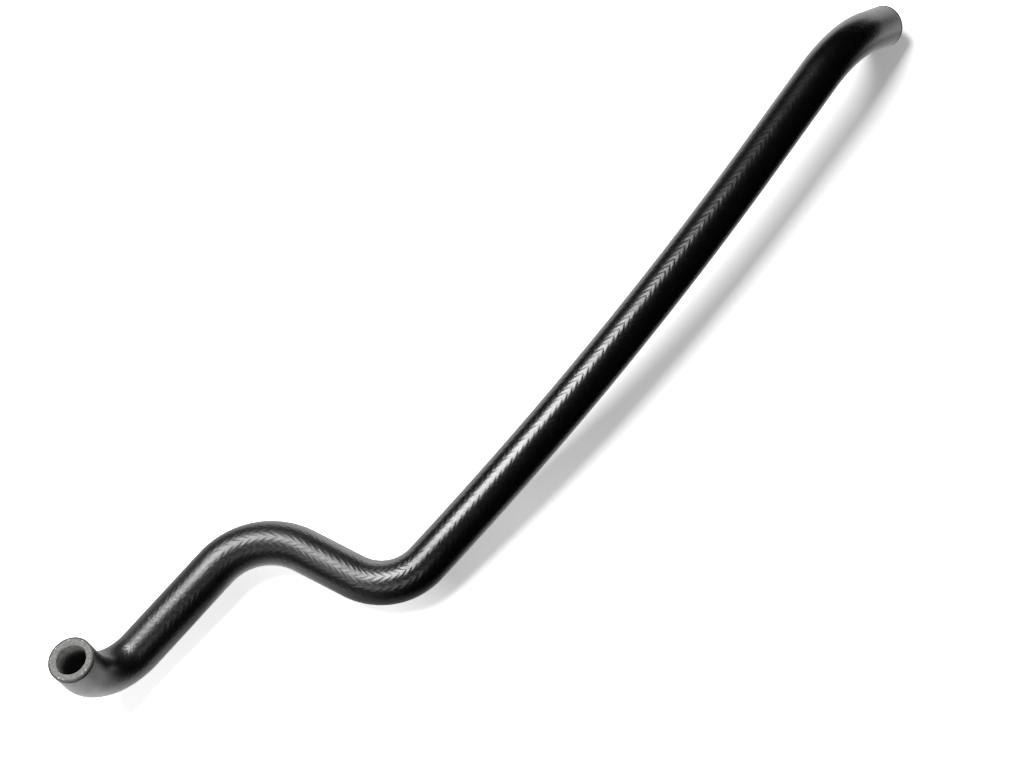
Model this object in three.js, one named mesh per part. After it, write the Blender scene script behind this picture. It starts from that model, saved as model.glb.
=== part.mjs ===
// Moulded coolant hose for a car's cooling circuit, lying on a floor as it comes to rest.
//
// It is one rubber tube, cured on a shaped mandrel, so it keeps its bends without being held. The near
// leg stands up beside the hose's short S, and the long bowed run ends in a leg that dips to the floor.
// Millimetres, +Z up. X follows the long run, and the origin lies on the floor under the hose's middle.

import * as THREE from 'three';

// Section
const boreDiameter = 19;
const wallThickness = 4.5;

// Straight legs, in order from the near mouth to the far mouth
const nearLegLength = 18;
const crossLegLength = 67;
const middleLegLength = 34;
const runLegLength = 71;
const farLegLength = 26;

// Bends, in the same order: radius of the centreline, and angle in degrees
const nearBendRadius = 28;
const nearBendAngle = 100;
const shoulderBendRadius = 46;
const shoulderBendAngle = 75;
const middleBendRadius = 38;
const middleBendAngle = 74;
const bowRadius = 1900;
const bowAngle = 10;
const farBendRadius = 78;
const farBendAngle = 42;

// How far each bend's plane is turned about the hose from the plane of the bend before it, in degrees
const shoulderBendTurn = 114;
const middleBendTurn = -175;
const bowTurn = -45;
const farBendTurn = -71;

// How far a flat facet may lie from the true round surface
const facetDepth = 0.08;

// Times that the hose is laid down again, each time on the lowest points that it had before
const settlingRounds = 12;

const rubber = { color: 0x1b1b1c, roughness: 0.42, metalness: 0 };

const outerRadius = boreDiameter / 2 + wallThickness;

// The number of equal facets that an arc needs
function facetCount(radius, angle) {
  return Math.ceil(angle / (2 * Math.acos(1 - facetDepth / radius)));
}

// The hose is swept through rings. A ring has its centre, the direction of the hose there, and the side
// on which the last bend has its centre.
function straightRings(start, length) {
  return [{ ...start, centre: start.centre.clone().addScaledVector(start.along, length) }];
}

function bendRings(start, radius, angleDegrees, turnDegrees) {
  const angle = THREE.MathUtils.degToRad(angleDegrees);
  const turn = THREE.MathUtils.degToRad(turnDegrees);
  const firstSide = start.side.clone().applyAxisAngle(start.along, turn);
  const hub = start.centre.clone().addScaledVector(firstSide, radius);
  const axis = start.along.clone().cross(firstSide);
  const steps = facetCount(radius, angle);
  return Array.from({ length: steps }, (_, step) => {
    const swept = angle * (step + 1) / steps;
    const along = start.along.clone().applyAxisAngle(axis, swept);
    const side = firstSide.clone().applyAxisAngle(axis, swept);
    return { centre: hub.clone().addScaledVector(side, -radius), along, side };
  });
}

// The legs and bends as lists of rings, each list starting where the one before it ends
function hoseRoute() {
  const mouth = [{
    centre: new THREE.Vector3(),
    along: new THREE.Vector3(1, 0, 0),
    side: new THREE.Vector3(0, 1, 0),
  }];
  const nearLeg = straightRings(mouth.at(-1), nearLegLength);
  const nearBend = bendRings(nearLeg.at(-1), nearBendRadius, nearBendAngle, 0);
  const crossLeg = straightRings(nearBend.at(-1), crossLegLength);
  const shoulderBend = bendRings(crossLeg.at(-1), shoulderBendRadius, shoulderBendAngle, shoulderBendTurn);
  const middleLeg = straightRings(shoulderBend.at(-1), middleLegLength);
  const middleBend = bendRings(middleLeg.at(-1), middleBendRadius, middleBendAngle, middleBendTurn);
  const bow = bendRings(middleBend.at(-1), bowRadius, bowAngle, bowTurn);
  const runLeg = straightRings(bow.at(-1), runLegLength);
  const farBend = bendRings(runLeg.at(-1), farBendRadius, farBendAngle, farBendTurn);
  const farLeg = straightRings(farBend.at(-1), farLegLength);
  return {
    mouth, nearLeg, nearBend, crossLeg, shoulderBend, middleLeg,
    middleBend, bow, runLeg, farBend, farLeg,
  };
}

// The hose touches the floor at three places: one on each of these stretches
function floorStretches(route) {
  return [
    [...route.mouth, ...route.nearLeg, ...route.nearBend, ...route.crossLeg],
    [...route.shoulderBend, ...route.middleLeg, ...route.middleBend, ...route.bow],
    [...route.runLeg, ...route.farBend, ...route.farLeg],
  ];
}

// The lowest point on the skin of a stretch
function lowestSkinPoint(rings, up) {
  const points = rings.map((ring) => {
    const down = up.clone().negate().projectOnPlane(ring.along).normalize();
    return down.multiplyScalar(outerRadius).add(ring.centre);
  });
  return points.reduce((lowest, point) => (point.dot(up) < lowest.dot(up) ? point : lowest));
}

// The normal of the floor through three feet, on the side that the near mouth opens to
function floorNormal([near, middle, far], mouthDirection) {
  const normal = middle.clone().sub(near).cross(far.clone().sub(near)).normalize();
  return normal.dot(mouthDirection) < 0 ? normal.negate() : normal;
}

// The turn that lays the hose on its three feet, with the long run along X
function restingTurn(route) {
  const stretches = floorStretches(route);
  const mouthDirection = route.mouth[0].along.clone().negate();
  let up = floorNormal(stretches.map((rings) => rings.at(-1).centre), mouthDirection);
  for (let round = 0; round < settlingRounds; round += 1) {
    up = floorNormal(stretches.map((rings) => lowestSkinPoint(rings, up)), mouthDirection);
  }
  const run = route.runLeg.at(-1).centre.clone().sub(route.middleBend.at(-1).centre);
  const xAxis = run.projectOnPlane(up).normalize();
  const yAxis = up.clone().cross(xAxis);
  return new THREE.Matrix4().makeBasis(xAxis, yAxis, up).transpose();
}

// A sweep path that stops at the rings, so that the bends get the facets and the straight legs none
class RingPath extends THREE.Curve {
  constructor(rings) {
    super();
    this.rings = rings;
  }

  ringAt(share) {
    return this.rings[Math.round(share * (this.rings.length - 1))];
  }

  getPointAt(share, target = new THREE.Vector3()) {
    return target.copy(this.ringAt(share).centre);
  }

  getTangentAt(share, target = new THREE.Vector3()) {
    return target.copy(this.ringAt(share).along);
  }
}

// The cut face of the hose: the wall around the bore
function wallSection() {
  const section = new THREE.Shape().absarc(0, 0, outerRadius, 0, 2 * Math.PI, false);
  section.holes.push(new THREE.Path().absarc(0, 0, boreDiameter / 2, 0, 2 * Math.PI, true));
  return section;
}

function hoseGeometry() {
  const route = hoseRoute();
  const rings = Object.values(route).flat();
  const geometry = new THREE.ExtrudeGeometry(wallSection(), {
    steps: rings.length - 1,
    // A shape's circle is drawn with two sides for each curve segment
    curveSegments: Math.ceil(facetCount(outerRadius, 2 * Math.PI) / 2),
    extrudePath: new RingPath(rings),
  });
  geometry.applyMatrix4(restingTurn(route));
  geometry.computeBoundingBox();
  const box = geometry.boundingBox;
  const middle = box.getCenter(new THREE.Vector3());
  return geometry.translate(-middle.x, -middle.y, -box.min.z);
}

const hose = new THREE.Mesh(hoseGeometry(), new THREE.MeshStandardMaterial(rubber));
hose.name = 'hose';

const coolantHose = new THREE.Group();
coolantHose.add(hose);

export default coolantHose;
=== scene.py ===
# %% [markdown]
# # A moulded radiator hose
# The object is one piece of black rubber tube from a car's cooling circuit. It lies on a white
# table, and a camera looks almost straight down on it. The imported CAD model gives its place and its
# size, and this script adds what the eye reads as rubber: the knitted yarn that shows through the
# skin, the rough cut ends, and the satin shine of a part that was cured in steam. Sizes are in
# millimetres, unless a comment says otherwise.

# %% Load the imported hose
import math

import bpy
import numpy as np
from mathutils import Matrix, Vector


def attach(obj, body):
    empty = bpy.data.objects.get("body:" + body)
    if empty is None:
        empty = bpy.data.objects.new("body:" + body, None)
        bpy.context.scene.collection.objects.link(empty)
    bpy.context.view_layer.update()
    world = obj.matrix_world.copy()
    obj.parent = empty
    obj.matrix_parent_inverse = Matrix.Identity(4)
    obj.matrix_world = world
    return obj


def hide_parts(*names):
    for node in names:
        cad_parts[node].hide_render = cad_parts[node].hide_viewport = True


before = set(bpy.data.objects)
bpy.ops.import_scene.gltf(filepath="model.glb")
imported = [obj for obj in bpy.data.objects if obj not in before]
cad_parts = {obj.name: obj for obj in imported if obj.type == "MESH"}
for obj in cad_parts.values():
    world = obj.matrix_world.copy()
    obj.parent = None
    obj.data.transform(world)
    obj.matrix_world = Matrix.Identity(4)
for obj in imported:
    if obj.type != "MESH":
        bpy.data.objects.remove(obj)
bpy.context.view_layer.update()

MM = 0.001
print("CAD nodes:", sorted(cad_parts))

# %% [markdown]
# ## Camera
# The photograph is taken from above and a little from one side, with a normal lens about a metre
# away. A camera could be placed by eye and nudged until it fits. Here the azimuth, the elevation,
# the distance and the point it looks at are written down, because they were measured from the
# picture, and they give the place of the camera by plain trigonometry.

# %% Place the camera
CAMERA_AZIMUTH = math.radians(-51.13)
CAMERA_ELEVATION = math.radians(76.95)
CAMERA_DISTANCE = 1051.67 * MM
AIM_POINT = Vector((-19.11, -23.47, 0)) * MM
LENS_LENGTH = 57.09
SENSOR_WIDTH = 36


def place_camera():
    right = Vector((math.cos(CAMERA_AZIMUTH), math.sin(CAMERA_AZIMUTH), 0))
    level = Vector((-math.sin(CAMERA_AZIMUTH), math.cos(CAMERA_AZIMUTH), 0))
    down = Vector((0, 0, -math.sin(CAMERA_ELEVATION)))
    forward = level * math.cos(CAMERA_ELEVATION) + down
    up = right.cross(forward)
    camera = bpy.data.objects.new("camera", bpy.data.cameras.new("camera"))
    camera.data.lens = LENS_LENGTH
    camera.data.sensor_width = SENSOR_WIDTH
    camera.data.sensor_fit = "HORIZONTAL"
    turn = Matrix((right, up, -forward)).transposed().to_4x4()
    camera.matrix_world = Matrix.Translation(AIM_POINT - forward * CAMERA_DISTANCE) @ turn
    bpy.context.scene.collection.objects.link(camera)
    bpy.context.scene.camera = camera
    return camera


camera = place_camera()
bpy.context.scene.view_settings.view_transform = "Standard"
print("camera at", [round(value, 3) for value in camera.matrix_world.translation])

# %% [markdown]
# ## The route of the hose
# A hose maker describes such a hose as a pipe bender would: a straight length, then a bend of some
# radius and angle, in a plane that is turned about the hose. A Bezier curve could follow the CAD
# solid by hand, but the bend table gives the solid's own centre line, and any point on it on
# demand. The table starts at the mouth of the short upright leg, where the first three values place
# the hose as it lies on the table.

# %% Bend table
MOUTH_CENTRE = np.array((-321.4312, 65.3664, 60.4422))
FIRST_ALONG = np.array((-0.142129, -0.314738, -0.938477))
FIRST_SIDE = np.array((0.987464, -0.110854, -0.112371))

# Straight length, then the bend's radius and angle, and the turn of its plane (mm and degrees)
BENDS = (
    (18, 28, 100, 0),
    (67, 46, 75, 114),
    (34, 38, 74, -175),
    (0, 1900, 10, -45),
    (71, 78, 42, -71),
)
LAST_STRAIGHT = 26
straight_length = sum(straight for straight, *_ in BENDS) + LAST_STRAIGHT
print(len(BENDS), "bends and", straight_length, "mm of straight hose")

# %% [markdown]
# ## Straights and bends
# Walking down the bend table gives the start of each straight and bend: its centre, the direction
# of the hose and a side that is carried along. Blender's curves find such a side by themselves, and
# it may jump in a bend. Here it turns with the hose and never about it, as the columns of the knit
# do.

# %% Pieces of the route
def turned(vector, axis, angle):
    """Vectors turned about a unit axis that they stand square to."""
    angle = np.asarray(angle)[..., None]
    return vector * np.cos(angle) + np.cross(axis, vector) * np.sin(angle)


def turned_any(vector, axis, angle):
    """Vectors turned about a unit axis, whichever way they point."""
    along_axis = axis * np.dot(vector, axis)
    return along_axis + turned(vector - along_axis, axis, angle)


def route_pieces():
    """Each straight and bend in order. Only a bend has a hub side, an axis and a radius."""
    centre, along, hub_side, side = MOUTH_CENTRE, FIRST_ALONG, FIRST_SIDE, FIRST_SIDE
    pieces = []
    for straight, radius, angle, turn in BENDS:
        if straight:
            pieces.append({"length": straight, "centre": centre, "along": along, "side": side})
            centre = centre + along * straight
        hub_side = turned(hub_side, along, math.radians(turn))
        axis = np.cross(along, hub_side)
        sweep = math.radians(angle)
        pieces.append({
            "length": radius * sweep, "centre": centre, "along": along, "side": side,
            "hub_side": hub_side, "axis": axis, "radius": radius})
        hub = centre + hub_side * radius
        along = turned(along, axis, sweep)
        hub_side = turned(hub_side, axis, sweep)
        side = turned_any(side, axis, sweep)
        centre = hub - hub_side * radius
    pieces.append({"length": LAST_STRAIGHT, "centre": centre, "along": along, "side": side})
    return pieces


ROUTE = route_pieces()
HOSE_LENGTH = sum(piece["length"] for piece in ROUTE)
print("length along the centre line:", round(HOSE_LENGTH, 1), "mm")

# %% [markdown]
# ## Any point of the route
# The rings of the mesh don't lie at even steps, so the route has to answer for any distance. It
# could be stored as a long row of points and read between them, which cuts the corners of a bend.
# The pieces are straight or round, so each answers exactly.

# %% Sample the route
# More than any rounding error, and less than anything that shows
ROUNDING = 1e-6


def place_on(piece, gone):
    """Centre, direction and side at some distances from the start of a piece."""
    centre, along, side = piece["centre"], piece["along"], piece["side"]
    if "radius" not in piece:
        return centre + along * gone[:, None], along, side
    hub_side, axis, radius = piece["hub_side"], piece["axis"], piece["radius"]
    swept = gone / radius
    return (
        centre + hub_side * radius - turned(hub_side, axis, swept) * radius,
        turned(along, axis, swept),
        turned_any(side, axis, swept))


def sample_route(distances):
    """Centre, direction and side at each distance from the near mouth."""
    centres, alongs, sides = (np.zeros((len(distances), 3)) for _ in range(3))
    begin = 0.0
    for piece in ROUTE:
        end = begin + piece["length"]
        here = (distances >= begin - ROUNDING) & (distances <= end + ROUNDING)
        centres[here], alongs[here], sides[here] = place_on(piece, distances[here] - begin)
        begin = end
    return centres, alongs, sides


far_mouth = sample_route(np.array([HOSE_LENGTH]))[0][0]
print("far mouth at", far_mouth.round(1).tolist(), "mm")

# %% [markdown]
# ## The knit under the skin
# Between the inner tube and the thin outer cover lies a stocking of knitted yarn. When the hose is
# cured, steam presses the cover onto it, and the columns of V-shaped stitches show as a soft
# relief. A bump map could draw them, but it would be missing from the silhouette and from the
# exported mesh. So the relief is carved into the mesh, from the sizes of one stitch.

# %% Stitch sizes
OUTER_RADIUS = 14.0
STITCH_COLUMNS = 13
STITCH_PITCH = 5.15
STITCH_ANGLE = math.radians(29)
COLUMN_WIDTH = 2 * math.pi * OUTER_RADIUS / STITCH_COLUMNS
STITCH_RISE = (COLUMN_WIDTH / 2) / math.tan(STITCH_ANGLE)
print("width of a stitch column:", round(COLUMN_WIDTH, 2), "mm")
print("rise of a leg of the V:", round(STITCH_RISE, 2), "mm")

# %% [markdown]
# ## Uneven stitches
# No two stitches are pressed in alike. One stitch copied along the hose looks like a print, and a
# noise over it would pay no heed to where the stitches are. So each groove has its own share of the
# full depth, and each column slips along the hose by a small share of a stitch, which changes from
# one knot to the next. The generator is seeded, so every run draws the same hose.

# %% Random grooves and slips
# More stitches and knots than the hose has, so that no column runs out of them
STITCH_COUNT = 160
KNOT_COUNT = 60
KNOT_SPACING = 14.0
# Share of the full depth, and share of a stitch
SHALLOWEST_GROOVE = 0.4
LARGEST_SLIP = 0.16

random_stitches = np.random.default_rng(7)
GROOVE_DEPTHS = random_stitches.uniform(SHALLOWEST_GROOVE, 1.0, (STITCH_COUNT, STITCH_COLUMNS))
COLUMN_SLIPS = random_stitches.uniform(-LARGEST_SLIP, LARGEST_SLIP, (KNOT_COUNT, STITCH_COLUMNS))


def column_slip(distance, column):
    """How far a column has slipped at a place along the hose, in stitches."""
    knot = distance / KNOT_SPACING + 1
    before = np.floor(knot).astype(int)
    gone = knot - before
    return COLUMN_SLIPS[before, column] * (1 - gone) + COLUMN_SLIPS[before + 1, column] * gone


print("mean depth of the grooves:", round(GROOVE_DEPTHS.mean(), 2), "of the deepest")

# %% [markdown]
# ## Relief of a stitch
# The stitches overlap as scales do: each rises slowly and drops at its end. Round ribs would be
# simpler, but they mirror the lamp as thin bright lines with wide dark gaps. A sawtooth with its
# crest at three quarters of the stitch turns most of its face to the lamp, as the real one does.
# The relief is deepest where the S stretches the cover over the yarn, and it dies out at both ends.

# %% Height of the relief
STITCH_CREST = 0.75
LEG_ROUNDNESS = 0.8
# Height of the legs where two columns meet, and how steeply they rise from there
BORDER_HEIGHT = 0.6
BORDER_SLOPE = 3
# The grooves are counted from a little before the near mouth, so that no number is below 0
FIRST_GROOVE = 2
# Distance along the hose and depth of the relief there, both in mm
RELIEF_STEPS = (
    (20, 0.0), (60, 0.09), (140, 0.11), (175, 0.18), (260, 0.2), (290, 0.11), (580, 0.11),
    (660, 0.07), (730, 0.03))


def across_column(turn_share):
    """0 on the border of a stitch column and 1 on its middle line, where the legs of a V meet."""
    column = turn_share * STITCH_COLUMNS
    return 1 - np.abs(2 * (column - np.floor(column)) - 1)


def stitch_relief(distance, turn_share):
    """1 on the crest of a stitch's leg and less in the grooves, for a place on the skin."""
    across = across_column(turn_share)
    # The sum keeps a point on a border from falling into the column before it
    column = np.floor(turn_share * STITCH_COLUMNS + ROUNDING).astype(int)
    column = np.broadcast_to(column, distance.shape)
    climb = STITCH_RISE * (across - 0.5)
    stitch = (distance - climb) / STITCH_PITCH + column_slip(distance, column)
    share = stitch - np.floor(stitch)
    leg = np.minimum(share / STITCH_CREST, (1 - share) / (1 - STITCH_CREST))
    border = BORDER_HEIGHT + (1 - BORDER_HEIGHT) * np.clip(BORDER_SLOPE * across, 0, 1)
    groove = np.floor(stitch + 1 - STITCH_CREST).astype(int) + FIRST_GROOVE
    return 1 - GROOVE_DEPTHS[groove, column] * (1 - leg ** LEG_ROUNDNESS * border)


print("deepest relief:", max(depth for _, depth in RELIEF_STEPS), "mm")

# %% [markdown]
# ## Rings of the skin
# A plain sweep lays its rings square to the hose, and the slanted stitches would come out as a saw
# edge. Many more rings would hide that. Here each ring zigzags with the V's instead: its points lie
# along one groove or one crest, and seven rings draw a whole stitch. Near the ends the zigzag dies
# out, and a shallow groove behind each cut sets off the small lip that the knife has left.

# %% Places and radii on the skin
POINTS_PER_COLUMN = 6
SKIN_SIDES = STITCH_COLUMNS * POINTS_PER_COLUMN
RINGS_PER_PITCH = 7
ZIGZAG_FADE = 14.0
# The skin stays this far inside the CAD solid, and its last zigzag ring this far from the far mouth
SKIN_CLEARANCE = 0.06
LAST_RING = 0.6
EDGE_ROUNDING = 0.16
LIP_PLACE = 1.5
LIP_WIDTH = 0.5
LIP_DEPTH = 0.6


def skin_rows(shares):
    """Distance and radius of the points of the skin, each row of them following the V's."""
    spacing = STITCH_PITCH / RINGS_PER_PITCH
    rings = np.arange(1, int((HOSE_LENGTH - LAST_RING) / spacing))[:, None] * spacing
    from_end = np.clip(np.minimum(rings, HOSE_LENGTH - rings) / ZIGZAG_FADE, 0, 1)
    zigzag = from_end * from_end * (3 - 2 * from_end)
    distances = rings + STITCH_RISE * (across_column(shares)[None] - 0.5) * zigzag
    edge = np.full((1, len(shares)), EDGE_ROUNDING)
    distances = np.concatenate((edge, distances, HOSE_LENGTH - edge))
    behind_cut = np.minimum(distances, HOSE_LENGTH - distances) - LIP_PLACE
    lip = LIP_DEPTH * np.exp(-(behind_cut / LIP_WIDTH) ** 2)
    depth = np.interp(distances, *zip(*RELIEF_STEPS))
    relief = depth * (1 - stitch_relief(distances, shares[None]))
    return distances, OUTER_RADIUS - SKIN_CLEARANCE - np.maximum(relief, lip)


print("a ring of", SKIN_SIDES, "points every", round(STITCH_PITCH / RINGS_PER_PITCH, 2), "mm")

# %% [markdown]
# ## Rings of the bore and of the cuts
# The bore is smooth, so a ring every nine millimetres carries it through the bends. The ends were
# cut with a knife, which leaves the face a little uneven. A bump map would do for the face, but not
# for the rim that stands out against the white, so eight rings at each end have soft random dents.

# %% Places in the bore and dents in the cuts
BORE_RADIUS = 9.5
BORE_SPACING = 9.0
# The first ring of the bore behind its edge
BORE_MARGIN = 2.0
CUT_RADII = (13.7, 13.2, 12.6, 12.1, 11.5, 10.9, 10.3, 9.8)
CUT_UNEVENNESS = 0.14
DENTS_ROUND_CUT = 31


def bore_places():
    """Distance from the near mouth of each ring of the bore, from the far mouth back."""
    count = int(HOSE_LENGTH / BORE_SPACING)
    inner = np.linspace(BORE_MARGIN, HOSE_LENGTH - BORE_MARGIN, count)
    return np.concatenate(((EDGE_ROUNDING,), inner, (HOSE_LENGTH - EDGE_ROUNDING,)))[::-1]


def cut_dents(seed):
    """Depth of the dents at each point of a cut, soft and random, and joined up round the ring."""
    knots = np.random.default_rng(seed).uniform(-1, 1, (len(CUT_RADII), DENTS_ROUND_CUT))
    places = np.arange(SKIN_SIDES) * DENTS_ROUND_CUT / SKIN_SIDES
    low = np.floor(places).astype(int)
    mix = 0.5 - 0.5 * np.cos(np.pi * (places - low))
    after = knots[:, (low + 1) % DENTS_ROUND_CUT]
    noise = knots[:, low % DENTS_ROUND_CUT] * (1 - mix) + after * mix
    return (0.5 - noise * 0.5) * CUT_UNEVENNESS


print("rings in the bore:", len(bore_places()))
print("deepest dent of the near cut:", round(cut_dents(1).max(), 3), "mm")

# %% [markdown]
# ## Points of the tube
# The rings follow each other down the skin, across the far cut, back up the bore and across the
# near cut. Skin, bore and cuts could be four objects, but their seams would show as cracks and leak
# light. As one row of rings they close on themselves.

# %% Rings in space
# The knit is turned by this share of a column, as it lies in the photograph
COLUMN_SHIFT = 0.15


def hose_points(distances, radii, angles):
    """Points and directions for places given in rows: distance along, radius and angle round."""
    fields = sample_route(distances.ravel())
    centres, alongs, sides = (field.reshape(distances.shape + (3,)) for field in fields)
    others = np.cross(alongs, sides)
    outward = sides * np.cos(angles)[..., None] + others * np.sin(angles)[..., None]
    return centres + outward * radii[..., None], alongs


def tube_rings():
    """Kind, distances, radii and points of every ring of the closed tube, in order."""
    shares = np.arange(SKIN_SIDES) / SKIN_SIDES
    angles = 2 * np.pi * (shares - COLUMN_SHIFT / STITCH_COLUMNS)
    skin_distances, skin_radii = skin_rows(shares)
    cut_radii = np.array(CUT_RADII)[:, None].repeat(SKIN_SIDES, axis=1)
    near_cut, far_cut = np.zeros_like(cut_radii), np.full_like(cut_radii, HOSE_LENGTH)
    bore_distances = bore_places()[:, None].repeat(SKIN_SIDES, axis=1)
    bore_radii = np.full_like(bore_distances, BORE_RADIUS)

    distances = np.concatenate((skin_distances, far_cut, bore_distances, near_cut))
    radii = np.concatenate((skin_radii, cut_radii, bore_radii, cut_radii[::-1]))
    counts = [len(rows) for rows in (skin_radii, cut_radii, bore_radii, cut_radii)]
    kinds = np.repeat(("skin", "cut", "bore", "cut"), counts)
    points, alongs = hose_points(distances, radii, np.broadcast_to(angles, distances.shape))
    for seed, place, outward in ((1, 0.0, -1), (2, HOSE_LENGTH, 1)):
        cut = (kinds == "cut") & (distances[:, 0] == place)
        points[cut] -= alongs[cut] * cut_dents(seed)[..., None] * outward
    return kinds, distances, radii, points


kinds, distances, radii, points = tube_rings()
print("rings of the tube:", len(kinds), "and rings of its skin:", (kinds == "skin").sum())

# %% [markdown]
# ## The mesh
# Each face joins two neighbours on one ring with the same two on the next. The materials need to
# know where on the hose they are, and an image map or painted colours could tell them. A UV map is
# exact and free: it holds the distance along the hose and the share of the way round it. On the
# cuts it holds the radius in place of the distance.

# %% Build the mesh
PLACE_MAP = "along_and_around"
# Millimetres along the hose that make one unit of the UV map
UV_LENGTH = 100
SKIN_SLOT, BORE_SLOT, CUT_SLOT = 0, 1, 2


def at_corners(values):
    """The values at the four corners of each face, in the order of its points."""
    beside = np.roll(values, -1, axis=1)
    after = np.roll(values, -1, axis=0)
    return np.stack((values, beside, np.roll(beside, -1, axis=0), after), axis=-1)


def build_tube(kinds, distances, radii, points):
    row_count, sides = distances.shape
    faces = at_corners(np.arange(row_count * sides).reshape(row_count, sides)).reshape(-1, 4)
    mesh = bpy.data.meshes.new("hose_tube")
    mesh.from_pydata((points.reshape(-1, 3) * MM).tolist(), [], faces.tolist())
    mesh.polygons.foreach_set("use_smooth", [True] * len(mesh.polygons))

    is_cut = (kinds == "cut") | (np.roll(kinds, -1) == "cut")
    slots = np.where(is_cut, CUT_SLOT, np.where(kinds == "bore", BORE_SLOT, SKIN_SLOT))
    mesh.polygons.foreach_set("material_index", slots.repeat(sides).astype(np.int32))

    along = np.where(is_cut[:, None, None], at_corners(radii), at_corners(distances)) / UV_LENGTH
    around = np.arange(sides) / sides
    beside = around + 1 / sides
    uv = np.zeros((row_count, sides, 4, 2))
    uv[..., 0] = along
    uv[..., 1] = np.stack((around, beside, beside, around), axis=-1)[None]
    mesh.uv_layers.new(name=PLACE_MAP).data.foreach_set("uv", uv.reshape(-1))
    mesh.update()
    tube = bpy.data.objects.new("hose_tube", mesh)
    bpy.context.scene.collection.objects.link(tube)
    return tube


tube = build_tube(kinds, distances, radii, points)
print("tube triangles:", 2 * len(tube.data.polygons))

# %% [markdown]
# ## Helpers for materials
# Every colour below is the sRGB value that a colour picker shows, so one function turns it to the
# linear value that Blender's shaders work in. A second one adds a node, sets it and links it, so
# that a material reads as a short list of what goes into what. A third one turns the size of a
# pattern in millimetres to the scale of Blender's noise, which counts its features to the metre.

# %% Colour and node helpers
def linear(hex_colour):
    """Linear colour of an sRGB hex value, by the curve of the sRGB standard."""
    channels = [int(hex_colour[i:i + 2], 16) / 255 for i in (1, 3, 5)]
    return tuple(
        c / 12.92 if c <= 0.04045 else ((c + 0.055) / 1.055) ** 2.4 for c in channels) + (1.0,)


def add_node(tree, kind, inputs=None, **settings):
    """A new node with its settings. An input is linked to a socket, or holds a plain value."""
    node = tree.nodes.new(kind)
    for name, value in settings.items():
        setattr(node, name, value)
    for name, value in (inputs or {}).items():
        if isinstance(value, bpy.types.NodeSocket):
            tree.links.new(value, node.inputs[name])
        else:
            node.inputs[name].default_value = value
    return node


def new_material(name):
    material = bpy.data.materials.new(name)
    material.use_nodes = True
    material.node_tree.nodes.clear()
    return material, material.node_tree


def pattern_scale(size):
    """Scale of a noise whose features are this many millimetres wide."""
    return 1 / (size * MM)


print("mid grey in linear light:", round(linear("#808080")[0], 3))

# %% [markdown]
# ## Looks that change along the hose
# The skin isn't the same everywhere: the mandrel stretches it in the bends. Several materials with
# hard borders would show as stripes. So a value of the one material follows a row of steps, each a
# place and the level there, and it changes evenly between them. A colour ramp does that, scaled so
# that its white stands for the highest level.

# %% Steps of a value
def hose_place(tree):
    """The UV map's distance (radius on a cut) and share of the way round, as two sockets."""
    place = add_node(tree, "ShaderNodeUVMap", uv_map=PLACE_MAP)
    split = add_node(tree, "ShaderNodeSeparateXYZ", {"Vector": place.outputs["UV"]})
    return split.outputs["X"], split.outputs["Y"]


def step_ramp(tree, place, steps):
    """Levels that change evenly from one given place to the next."""
    first, last = steps[0][0], steps[-1][0]
    share = add_node(tree, "ShaderNodeMapRange", {
        "Value": place, "From Min": first, "From Max": last})
    levels = add_node(tree, "ShaderNodeValToRGB", {"Fac": share.outputs["Result"]})
    ramp = levels.color_ramp
    while len(ramp.elements) < len(steps):
        ramp.elements.new(0.5)
    highest = max(level for _, level in steps)
    for element, (x, level) in zip(ramp.elements, steps):
        element.position = (x - first) / (last - first)
        element.color = (level / highest,) * 3 + (1.0,)
    level = add_node(tree, "ShaderNodeMath", {
        0: levels.outputs["Color"], 1: highest}, operation="MULTIPLY")
    return level.outputs[0]


print("the UV map reads", round(HOSE_LENGTH / UV_LENGTH, 2), "at the far mouth")

# %% [markdown]
# ## Rubber of the skin
# The cover is EPDM rubber, filled with carbon black and cured in steam. It is close to pure black,
# and what shows is its satin shine, the reflection of a dielectric with an IOR of 1.5. One
# roughness for all of it would leave the S too dark, with a thin line of light. There the mandrel
# stretches the skin until it is dull and finely drawn lengthwise. So it is rougher along the hose
# than across, which carries the light of the lamp on round the bends, and its shine is made
# stronger, to keep that light as bright as in the photograph. The long run is smooth, and it
# mirrors the lamp more sharply.

# %% Skin material
# Place along the hose (mm/100) with, in this order: the roughness there, how much rougher the skin
# is lengthwise than across, how strongly its grain shows, and the strength of its shine
ROUGHNESS_STEPS = (
    (0.0, 0.36), (0.45, 0.31), (1.3, 0.31), (1.5, 0.40), (1.75, 0.48), (2.4, 0.46), (2.62, 0.34),
    (2.8, 0.25), (2.95, 0.22))
LENGTHWISE_STEPS = (
    (1.3, 0.2), (1.5, 0.5), (1.75, 0.75), (2.4, 0.77), (2.7, 0.55), (2.95, 0.0))
GRAIN_STEPS = ((0.0, 0.8), (2.4, 0.7), (2.9, 0.25))
SHINE_STEPS = (
    (0.0, 1.6), (0.38, 1.6), (0.55, 0.9), (1.2, 0.9), (1.5, 1.3), (1.75, 2.3), (2.1, 2.9),
    (2.4, 3.0), (2.65, 1.1), (2.8, 0.8), (7.2, 0.8), (7.4, 1.3))
# The real grain is finer than a tenth of a millimetre. It is drawn at 1.4 mm, so that it shows.
GRAIN_SIZE = 10 / 7
GRAIN_DEPTH = 0.2
# Steam leaves soft blotches about as wide as a stitch column, and this much rougher
BLOTCH_SIZE = 6.25
BLOTCH_ROUGHNESS = 0.1


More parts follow.
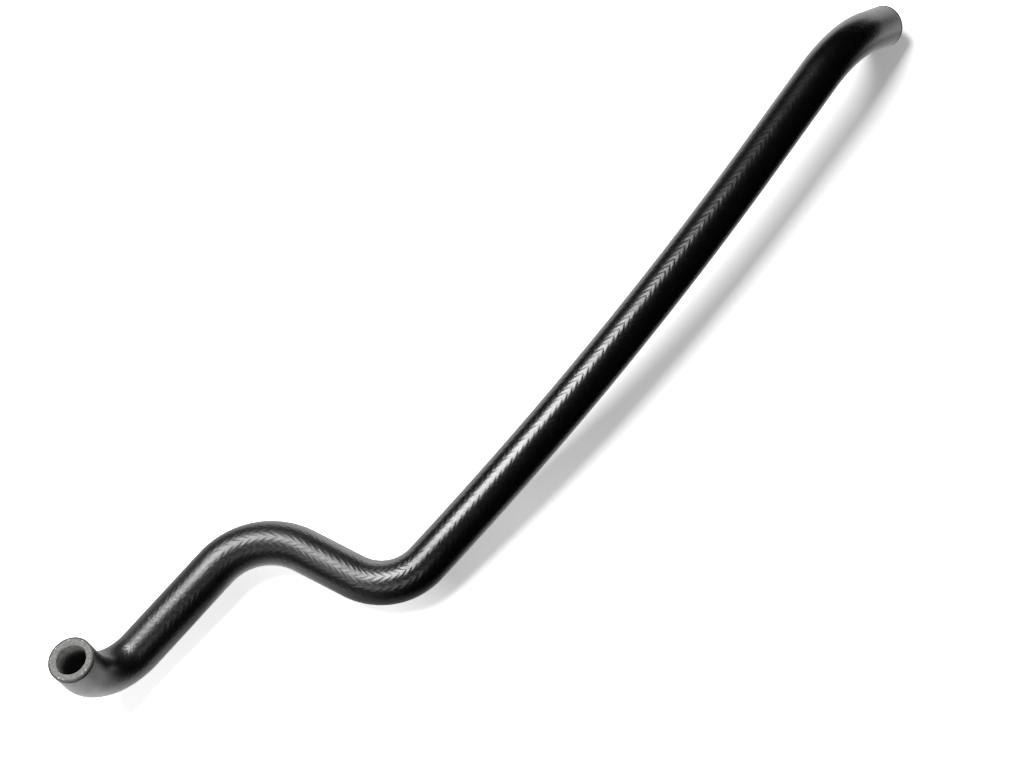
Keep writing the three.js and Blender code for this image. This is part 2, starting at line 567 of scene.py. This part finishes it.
def skin_rubber():
    """Satin black: the eye gets little but the reflection of the lamp, broken up by the knit."""
    material, tree = new_material("EPDM rubber, steam-cured over knit")
    position = add_node(tree, "ShaderNodeTexCoord").outputs["Object"]
    along, _ = hose_place(tree)
    grain = add_node(tree, "ShaderNodeTexNoise", {
        "Vector": position, "Scale": pattern_scale(GRAIN_SIZE), "Detail": 4.0})
    blotches = add_node(tree, "ShaderNodeTexNoise", {
        "Vector": position, "Scale": pattern_scale(BLOTCH_SIZE), "Detail": 3.0})
    roughness = add_node(tree, "ShaderNodeMath", {
        0: blotches.outputs["Fac"], 1: BLOTCH_ROUGHNESS,
        2: step_ramp(tree, along, ROUGHNESS_STEPS)}, operation="MULTIPLY_ADD")
    tone = add_node(tree, "ShaderNodeMix", {
        "Factor": blotches.outputs["Fac"], "A": linear("#040404"), "B": linear("#090909")},
        data_type="RGBA")
    bump = add_node(tree, "ShaderNodeBump", {
        "Height": grain.outputs["Fac"], "Strength": step_ramp(tree, along, GRAIN_STEPS),
        "Distance": GRAIN_DEPTH * MM})
    lengthwise = add_node(
        tree, "ShaderNodeTangent", direction_type="UV_MAP", uv_map=PLACE_MAP)
    rubber = add_node(tree, "ShaderNodeBsdfPrincipled", {
        "Base Color": tone.outputs["Result"], "Roughness": roughness.outputs[0],
        "Normal": bump.outputs["Normal"], "IOR": 1.5,
        "Specular IOR Level": step_ramp(tree, along, SHINE_STEPS),
        "Anisotropic": step_ramp(tree, along, LENGTHWISE_STEPS),
        "Tangent": lengthwise.outputs["Tangent"]})
    add_node(tree, "ShaderNodeOutputMaterial", {"Surface": rubber.outputs["BSDF"]})
    return material


skin_material = skin_rubber()
print("skin:", skin_material.name)

# %% [markdown]
# ## Rubber of the bore
# The bore was shaped by a polished mandrel, and it is even and a little duller than the long run.
# Just inside each mouth the light that falls in is painted into its colour as a pale band, and then
# it falls to black. A lamp inside could show the same, but it would light the whole bore, so the
# colour itself fades from pale to black.

# %% Bore material
# Place in the bore (mm/100 from the near mouth) and how pale the painted light is there
PAINTED_MOUTH_LIGHT_STEPS = ((0.0, 1.7), (0.06, 1.4), (0.13, 0.1), (7.52, 0.1), (7.62, 1.4))
# The mandrel leaves shallow marks, a few millimetres wide
MARK_SIZE = 10 / 3
MARK_DEPTH = 0.1


def bore_rubber():
    """Dull black with painted light at its mouths: it tells the eye that the tube is open and deep.
    """
    material, tree = new_material("EPDM rubber, cured on a mandrel")
    position = add_node(tree, "ShaderNodeTexCoord").outputs["Object"]
    along, _ = hose_place(tree)
    marks = add_node(tree, "ShaderNodeTexNoise", {
        "Vector": position, "Scale": pattern_scale(MARK_SIZE), "Detail": 2.0})
    # Painted light: pale where light falls in at each mouth, mottled by the mandrel's marks
    painted_mouth_light = add_node(tree, "ShaderNodeMath", {
        0: marks.outputs["Fac"], 1: step_ramp(tree, along, PAINTED_MOUTH_LIGHT_STEPS)}, operation="MULTIPLY")
    tone = add_node(tree, "ShaderNodeMix", {
        "Factor": painted_mouth_light.outputs[0], "A": linear("#0a0a0a"), "B": linear("#f4f4f2")},
        data_type="RGBA")
    bump = add_node(tree, "ShaderNodeBump", {
        "Height": marks.outputs["Fac"], "Strength": 0.2, "Distance": MARK_DEPTH * MM})
    rubber = add_node(tree, "ShaderNodeBsdfPrincipled", {
        "Base Color": tone.outputs["Result"], "Roughness": 0.4,
        "Normal": bump.outputs["Normal"], "IOR": 1.5})
    add_node(tree, "ShaderNodeOutputMaterial", {"Surface": rubber.outputs["BSDF"]})
    return material


bore_material = bore_rubber()
print("bore:", bore_material.name)

# %% [markdown]
# ## Yarn ends on a cut
# The knife goes through the yarn, and its white ends stand in a circle close under the skin, two to
# a stitch column. Outside them lies the thin cover, darker than the rubber within. The ends could
# be small meshes of their own, but they are frayed and flush with the rubber. So they are spots of
# the material, placed by the radius and the share of the way round, and a noise hides most of them.

# %% Pattern of the cut
YARN_RADIUS = 12.6
YARN_THICKNESS = 0.4
YARN_ENDS = 2 * STITCH_COLUMNS
# In thicknesses of yarn: half the way to the next end, how far the noise frays an end, and the two
# distances from its middle between which it fades out
YARN_GAP = 3.0
YARN_FRAY = 5.0
YARN_FADE = (2.1, 2.8)
# Inner radius of the cover, width of its soft border, and its share of the rubber's brightness
COVER_RADIUS = 13.0
COVER_BLEND = 0.3
COVER_SHADE = 0.4


def cut_pattern(tree, patches):
    """1 on the yarn ends and 0 elsewhere, and the shade of the rubber, darker on the cover."""
    radius, around = hose_place(tree)
    outward = add_node(tree, "ShaderNodeMath", {
        0: radius, 1: UV_LENGTH / YARN_THICKNESS, 2: -YARN_RADIUS / YARN_THICKNESS},
        operation="MULTIPLY_ADD")
    turns = add_node(tree, "ShaderNodeMath", {0: around, 1: 2.0 * YARN_ENDS}, operation="MULTIPLY")
    sideways = add_node(tree, "ShaderNodeMath", {
        0: turns.outputs[0], 1: 1.0}, operation="PINGPONG")
    spread = add_node(tree, "ShaderNodeMath", {
        0: sideways.outputs[0], 1: YARN_GAP}, operation="MULTIPLY")
    spot = add_node(tree, "ShaderNodeCombineXYZ", {"X": outward.outputs[0], "Y": spread.outputs[0]})
    away = add_node(tree, "ShaderNodeVectorMath", {0: spot.outputs[0]}, operation="LENGTH")
    frayed = add_node(tree, "ShaderNodeMath", {
        0: patches.outputs["Fac"], 1: YARN_FRAY, 2: away.outputs["Value"]},
        operation="MULTIPLY_ADD")
    ends = add_node(tree, "ShaderNodeMapRange", {
        "Value": frayed.outputs[0], "From Min": YARN_FADE[0], "From Max": YARN_FADE[1],
        "To Min": 1.0, "To Max": 0.0})
    shade = add_node(tree, "ShaderNodeMapRange", {
        "Value": radius, "From Min": (COVER_RADIUS - COVER_BLEND) / UV_LENGTH,
        "From Max": COVER_RADIUS / UV_LENGTH, "To Min": 1.0, "To Max": COVER_SHADE})
    return ends.outputs["Result"], shade.outputs["Result"]


print("yarn ends on each cut:", YARN_ENDS)

# %% [markdown]
# ## Rubber of the cut ends
# The ends were cut with a knife after curing. Torn rubber scatters light and holds dust, so the
# face is a mottled mid grey and quite matt. A single grey would look like plastic. The crumbs of
# rubber give it its tone and its bump from one noise, so that the pale spots are the high ones.

# %% Cut material
# Torn crumbs of rubber are about half a millimetre wide. They are drawn coarser, so that they show.
CRUMB_SIZE = 10 / 7
CRUMB_DEPTH = 0.15
# Patches that hide some of the yarn ends, a little wider than the gap between two of them
PATCH_SIZE = 50 / 13
# Level of the noise and the tone there
CRUMB_TONES = ((0.3, "#5d5d5c"), (0.72, "#989896"))


def cut_rubber():
    """Matt grey with pale specks: it tells the eye that a knife went through rubber and yarn."""
    material, tree = new_material("EPDM rubber, cut with a knife")
    position = add_node(tree, "ShaderNodeTexCoord").outputs["Object"]
    crumbs = add_node(tree, "ShaderNodeTexNoise", {
        "Vector": position, "Scale": pattern_scale(CRUMB_SIZE), "Detail": 4.0, "Roughness": 0.7})
    tone = add_node(tree, "ShaderNodeValToRGB", {"Fac": crumbs.outputs["Fac"]})
    for element, (level, colour) in zip(tone.color_ramp.elements, CRUMB_TONES):
        element.position = level
        element.color = linear(colour)
    patches = add_node(tree, "ShaderNodeTexNoise", {
        "Vector": position, "Scale": pattern_scale(PATCH_SIZE), "Detail": 1.0})
    ends, shade = cut_pattern(tree, patches)
    shaded = add_node(tree, "ShaderNodeVectorMath", {
        0: tone.outputs["Color"], "Scale": shade}, operation="SCALE")
    with_yarn = add_node(tree, "ShaderNodeMix", {
        "Factor": ends, "A": shaded.outputs[0], "B": linear("#f2f1ee")}, data_type="RGBA")
    bump = add_node(tree, "ShaderNodeBump", {
        "Height": crumbs.outputs["Fac"], "Strength": 0.5, "Distance": CRUMB_DEPTH * MM})
    rubber = add_node(tree, "ShaderNodeBsdfPrincipled", {
        "Base Color": with_yarn.outputs["Result"], "Roughness": 0.75,
        "Normal": bump.outputs["Normal"], "IOR": 1.5})
    add_node(tree, "ShaderNodeOutputMaterial", {"Surface": rubber.outputs["BSDF"]})
    return material


cut_material = cut_rubber()
print("cut ends:", cut_material.name)

# %% [markdown]
# ## Dress the tube
# The real hose is one piece of rubber, so it stays one object with three materials, and each face
# of the mesh already knows its slot. Then the tube takes the place of the plain CAD solid, and it
# moves with the same body.

# %% Put the tube in the place of its CAD solid
for material in (skin_material, bore_material, cut_material):
    tube.data.materials.append(material)
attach(tube, "root")
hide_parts("hose")
print("tube materials:", [material.name for material in tube.data.materials])

# %% [markdown]
# ## The table as the camera sees it
# The photograph has a white table without an edge and a faint grey shadow. A brighter lamp could
# burn the table out to white, but it would grey the rubber too. So the table is an ordinary white
# that answers to the lamps twice for the camera alone, as in an overexposed picture, and glows a
# little besides. The glow is painted light: set by place along the hose, it lightens the shadow
# most by the near end, and past the lamps' reach it brings the table up to white.

# %% White for the camera
# Place along the hose (m) and the strength there of the glow, painted light that lightens the shadow
PAINTED_GLOW_STEPS = (
    (-0.30, 0.68), (-0.23, 0.59), (-0.18, 0.66), (-0.14, 0.29), (-0.08, 0.34), (0.0, 0.25),
    (0.10, 0.25), (0.20, 0.24), (0.26, 0.20), (0.33, 0.16))
# Distance from the middle (m) and the strength of the glow there, out of the lamps' reach
FAR_GLOW_STEPS = ((0.8, 0.0), (2.5, 1.0))


def camera_white(tree, camera_ray, x_place, from_middle):
    glow_level = add_node(tree, "ShaderNodeMath", {
        0: step_ramp(tree, x_place, PAINTED_GLOW_STEPS),
        1: step_ramp(tree, from_middle, FAR_GLOW_STEPS)}, operation="MAXIMUM")
    seen_level = add_node(tree, "ShaderNodeMath", {
        0: glow_level.outputs[0], 1: camera_ray}, operation="MULTIPLY")
    # Painted light: an emission for the camera that lightens the shadow by place
    glow = add_node(tree, "ShaderNodeEmission", {"Strength": seen_level.outputs[0]})
    white = add_node(tree, "ShaderNodeBsdfDiffuse", {"Color": linear("#f7f7f7")}).outputs[0]
    again = add_node(tree, "ShaderNodeMixShader", {0: camera_ray, 2: white})
    twice = add_node(tree, "ShaderNodeAddShader", {0: white, 1: again.outputs[0]})
    lit = add_node(tree, "ShaderNodeAddShader", {0: twice.outputs[0], 1: glow.outputs[0]})
    return lit.outputs[0]


print("strongest glow near the hose:", max(level for _, level in PAINTED_GLOW_STEPS))

# %% [markdown]
# ## The table in reflections
# Black rubber shows what lies round it, and the grey rims of the hose are the white table, mirrored
# at a flat angle. A reflection of the table as the lamps light it would give even rims. Those in
# the photograph aren't even, so the table that glossy rays find is a painted reflection, a glow
# written down by place: beside the hose, past its near end and past its far end.

# %% Brightness for glossy rays
# Place across the hose (m) and how bright the painted reflection of the table beside it is there
MIRROR_STEPS = (
    (-0.14, 0.0), (-0.115, 0.5), (-0.085, 0.8), (-0.03, 1.1), (0.0, 1.5), (0.06, 1.5), (0.16, 0.0))
# Sum of both places (m) and the share of the painted reflection left, painted shade where no lamp
# falls
PAINTED_SHADE_STEPS = ((-0.26, 0.2), (-0.24, 0.4), (-0.20, 1.0))
# Place along the hose (m) and the brightness past its near end, and the share by place across it
NEAR_MIRROR_STEPS = (
    (-0.48, 0.0), (-0.42, 1.8), (-0.345, 2.0), (-0.33, 1.3), (-0.29, 0.9), (-0.25, 0.3),
    (-0.22, 0.0))
NEAR_WIDTH_STEPS = ((-0.07, 0.0), (-0.02, 1.0))
# The same two past its far end
FAR_MIRROR_STEPS = ((0.33, 0.0), (0.36, 1.2), (0.45, 1.2), (0.50, 0.0))
FAR_WIDTH_STEPS = ((-0.19, 0.0), (-0.14, 1.0))


def painted_table_reflection(tree, x_place, y_place):
    both_places = add_node(tree, "ShaderNodeMath", {0: x_place, 1: y_place}, operation="ADD")
    regions = (
        (y_place, MIRROR_STEPS, both_places.outputs[0], PAINTED_SHADE_STEPS),
        (x_place, NEAR_MIRROR_STEPS, y_place, NEAR_WIDTH_STEPS),
        (x_place, FAR_MIRROR_STEPS, y_place, FAR_WIDTH_STEPS))
    brightest = 0.0
    for place, levels, side_place, shares in regions:
        level = add_node(tree, "ShaderNodeMath", {
            0: step_ramp(tree, place, levels), 1: step_ramp(tree, side_place, shares)},
            operation="MULTIPLY")
        brightest = add_node(tree, "ShaderNodeMath", {
            0: level.outputs[0], 1: brightest}, operation="MAXIMUM").outputs[0]
    # A painted reflection: the glow that glossy rays find on the table
    return add_node(tree, "ShaderNodeEmission", {"Strength": brightest}).outputs[0]


print("brightest mirrored table:", max(level for _, level in NEAR_MIRROR_STEPS))

# %% [markdown]
# ## The table
# The photographed table goes past the picture on all sides. A curved backdrop would be needed for a
# camera that looks to the horizon. This one looks down, so a plane is enough, wide enough that its
# edge is out of sight from the other sides too.

# %% Lay the table
TABLE_SIZE = 8.0


def white_table():
    """Matt white laminate with a painted glow and a painted reflection: the eye sees only the shadow.
    """
    bpy.ops.mesh.primitive_plane_add(size=TABLE_SIZE)
    table = bpy.context.object
    table.name = "table"
    material, tree = new_material("white laminate table")
    path = add_node(tree, "ShaderNodeLightPath")
    position = add_node(tree, "ShaderNodeTexCoord").outputs["Object"]
    split = add_node(tree, "ShaderNodeSeparateXYZ", {"Vector": position})
    x_place, y_place = split.outputs["X"], split.outputs["Y"]
    from_middle = add_node(tree, "ShaderNodeVectorMath", {0: position}, operation="LENGTH")
    seen = camera_white(
        tree, path.outputs["Is Camera Ray"], x_place, from_middle.outputs["Value"])
    surface = add_node(tree, "ShaderNodeMixShader", {
        0: path.outputs["Is Glossy Ray"], 1: seen, 2: painted_table_reflection(tree, x_place, y_place)})
    add_node(tree, "ShaderNodeOutputMaterial", {"Surface": surface.outputs[0]})
    table.data.materials.append(material)
    return table


table = white_table()
print("table", TABLE_SIZE, "m wide")

# %% [markdown]
# ## Lamps
# One band of light runs down the whole hose, and there is a soft shadow on its other side. Both
# come from one large lamp that stands high up, on the side away from the shadow. A sun would give
# a hard shadow, so the lamp is an area lamp. A weak second one past the near end lifts the cut
# ring and the side of the short leg.

# %% Lamps
def area_lamp(name, centre, size, power):
    """A lamp that looks at the middle of the table (m and W)."""
    lamp = bpy.data.objects.new(name, bpy.data.lights.new(name, "AREA"))
    lamp.data.shape = "RECTANGLE"
    lamp.data.size, lamp.data.size_y = size
    lamp.data.energy = power
    lamp.location = centre
    lamp.rotation_euler = (-Vector(centre)).to_track_quat("-Z", "Y").to_euler()
    bpy.context.scene.collection.objects.link(lamp)
    return lamp


window_lamp = area_lamp("window_lamp", centre=(-0.12, 1.29, 1.72), size=(0.9, 1.2), power=56.0)
fill_lamp = area_lamp("fill_lamp", centre=(-1.05, -0.5, 1.4), size=(0.4, 0.5), power=2.4)
print("lamps of", round(window_lamp.data.energy, 1), "and", round(fill_lamp.data.energy, 1), "W")

# %% [markdown]
# ## The room
# Past the table the camera sees plain white, as in the photograph. A white room would also light
# the shadow away and fill the black of the rubber with grey. So it is white to the camera alone,
# dark in reflections, and to all other rays it gives only the faint light of a room.

# %% World
ROOM_LIGHT = 0.08


def room():
    world = bpy.data.worlds.new("room")
    world.use_nodes = True
    tree = world.node_tree
    tree.nodes.clear()
    path = add_node(tree, "ShaderNodeLightPath")
    mirrored = add_node(tree, "ShaderNodeMix", {
        "Factor": path.outputs["Is Glossy Ray"], "A": ROOM_LIGHT, "B": 0.0})
    seen = add_node(tree, "ShaderNodeMix", {
        "Factor": path.outputs["Is Camera Ray"], "A": mirrored.outputs["Result"], "B": 1.0})
    background = add_node(tree, "ShaderNodeBackground", {
        "Color": linear("#ffffff"), "Strength": seen.outputs["Result"]})
    add_node(tree, "ShaderNodeOutputWorld", {"Surface": background.outputs[0]})
    bpy.context.scene.world = world


room()
print("room light:", ROOM_LIGHT)

# %% [markdown]
# ## Size of the dressed hose
# The relief only cuts into the skin, and the skin lies a little inside the CAD solid. So the dressed
# hose has to fit in the box of the imported model. A render can't tell whether it does, so the box
# of the dressed hose is printed.

# %% Print the size of the dressed hose
print("hose from", points.min(axis=(0, 1)).round(1), "to", points.max(axis=(0, 1)).round(1), "mm")
